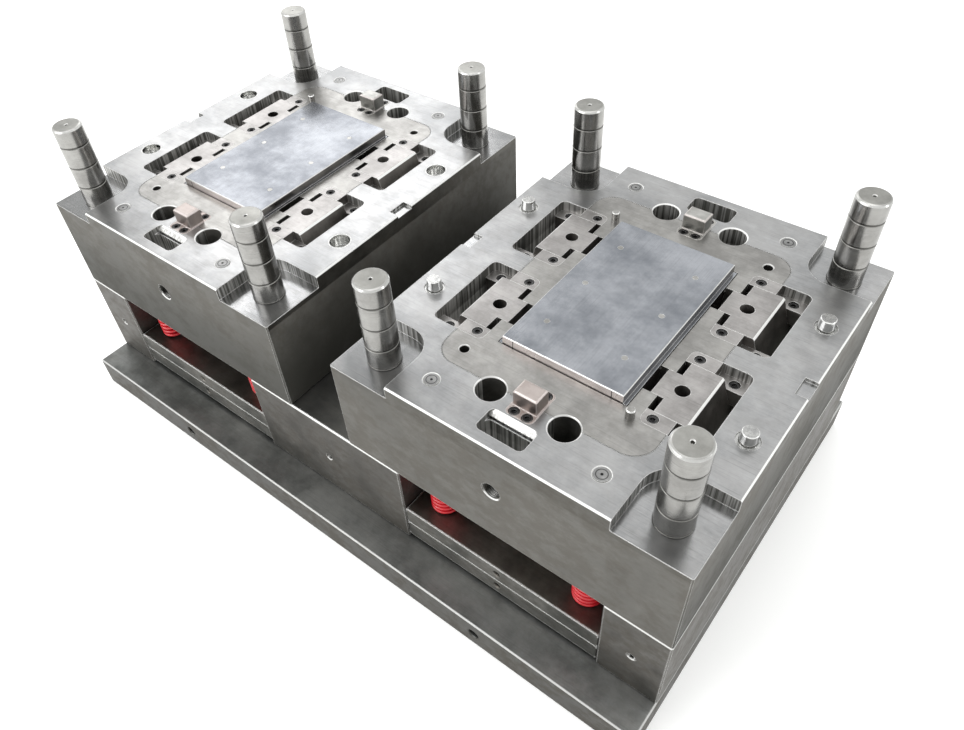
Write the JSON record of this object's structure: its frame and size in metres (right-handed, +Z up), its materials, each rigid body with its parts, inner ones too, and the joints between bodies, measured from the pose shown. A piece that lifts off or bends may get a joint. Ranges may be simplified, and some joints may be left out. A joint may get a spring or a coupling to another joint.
{
  "type": "mould base",
  "caption": "Moving half of a two-station injection mould: core plates with guide pillars, slides and raised cores over spring-returned ejector sets on one clamp plate",
  "frame": {"origin": "bottom centre of the clamp plate", "axes": "+Z up out of the clamp plate in the mould's opening direction, +X along the two stations, +Y from the front face to the back face"},
  "size_m": [0.894, 0.538, 0.399],
  "materials": {
    "bronze": "plain bronze",
    "dark_screw": "black oxide alloy steel",
    "ground_steel": "ground satin tool steel",
    "insert_steel": "fine ground hardened steel",
    "pin_steel": "bright ground hardened steel",
    "plate_steel": "milled carbon steel with oil film",
    "polished_steel": "lapped bright steel",
    "spring_red": "red lacquered spring steel",
    "wear_steel": "hardened and ground"
  },
  "bodies": {
    "base": {"clamp_plate": "plate_steel", "clamp_screws": "dark_screw", "core_block_left": "polished_steel", "core_block_right": "polished_steel", "core_insert_left": "insert_steel", "core_insert_right": "insert_steel", "core_locators_left": "pin_steel", "core_locators_right": "pin_steel", "core_plate_left": "ground_steel", "core_plate_right": "ground_steel", "ejector_guides": "pin_steel", "gibs_left": "insert_steel", "gibs_right": "insert_steel", "guide_pillars_left": "pin_steel", "guide_pillars_right": "pin_steel", "insert_screws_left": "dark_screw", "insert_screws_right": "dark_screw", "interlock_pegs": "pin_steel", "interlock_sockets": "pin_steel", "rest_buttons": "plate_steel", "return_springs_left": "spring_red", "return_springs_right": "spring_red", "spacer_centre": "plate_steel", "spacer_left": "plate_steel", "spacer_right": "plate_steel", "support_pillars": "plate_steel", "support_screws": "dark_screw", "wear_plates_left": "wear_steel", "wear_plates_right": "wear_steel", "wedge_blocks_left": "insert_steel", "wedge_blocks_right": "insert_steel"},
    "ejector_set_left": {"ejector_base_left": "plate_steel", "ejector_retainer_left": "plate_steel", "ejector_screws_left": "dark_screw", "return_pins_left": "pin_steel", "ejector_pins_left": "pin_steel", "ejector_bushes_left": "bronze", "stop_pads_left": "plate_steel"},
    "slide_left_front_outer": {"slide_left_front_outer": "insert_steel"},
    "slide_left_front_inner": {"slide_left_front_inner": "insert_steel"},
    "slide_left_back_outer": {"slide_left_back_outer": "insert_steel"},
    "slide_left_back_inner": {"slide_left_back_inner": "insert_steel"},
    "ejector_set_right": {"ejector_base_right": "plate_steel", "ejector_retainer_right": "plate_steel", "ejector_screws_right": "dark_screw", "return_pins_right": "pin_steel", "ejector_pins_right": "pin_steel", "ejector_bushes_right": "bronze", "stop_pads_right": "plate_steel"},
    "slide_right_front_outer": {"slide_right_front_outer": "insert_steel"},
    "slide_right_front_inner": {"slide_right_front_inner": "insert_steel"},
    "slide_right_back_outer": {"slide_right_back_outer": "insert_steel"},
    "slide_right_back_inner": {"slide_right_back_inner": "insert_steel"}
  },
  "joints": [
    {"name": "ejector_stroke_left", "type": "slide", "parent": "base", "child": "ejector_set_left", "axis": [0, 0, 1], "range_m": [0, 0.025], "stiffness_N_per_m": 60000, "springref_m": -0.006, "deforming": ["return_springs_left"]},
    {"name": "slide_travel_left_front_outer", "type": "slide", "parent": "base", "child": "slide_left_front_outer", "axis": [1, 0, 0], "range_m": [0, 0.006]},
    {"name": "slide_travel_left_front_inner", "type": "slide", "parent": "base", "child": "slide_left_front_inner", "axis": [-1, 0, 0], "range_m": [0, 0.006]},
    {"name": "slide_travel_left_back_outer", "type": "slide", "parent": "base", "child": "slide_left_back_outer", "axis": [1, 0, 0], "range_m": [0, 0.006]},
    {"name": "slide_travel_left_back_inner", "type": "slide", "parent": "base", "child": "slide_left_back_inner", "axis": [-1, 0, 0], "range_m": [0, 0.006]},
    {"name": "ejector_stroke_right", "type": "slide", "parent": "base", "child": "ejector_set_right", "axis": [0, 0, 1], "range_m": [0, 0.025], "stiffness_N_per_m": 60000, "springref_m": -0.006, "deforming": ["return_springs_right"]},
    {"name": "slide_travel_right_front_outer", "type": "slide", "parent": "base", "child": "slide_right_front_outer", "axis": [-1, 0, 0], "range_m": [0, 0.006]},
    {"name": "slide_travel_right_front_inner", "type": "slide", "parent": "base", "child": "slide_right_front_inner", "axis": [1, 0, 0], "range_m": [0, 0.006]},
    {"name": "slide_travel_right_back_outer", "type": "slide", "parent": "base", "child": "slide_right_back_outer", "axis": [-1, 0, 0], "range_m": [0, 0.006]},
    {"name": "slide_travel_right_back_inner", "type": "slide", "parent": "base", "child": "slide_right_back_inner", "axis": [1, 0, 0], "range_m": [0, 0.006]}
  ]
}
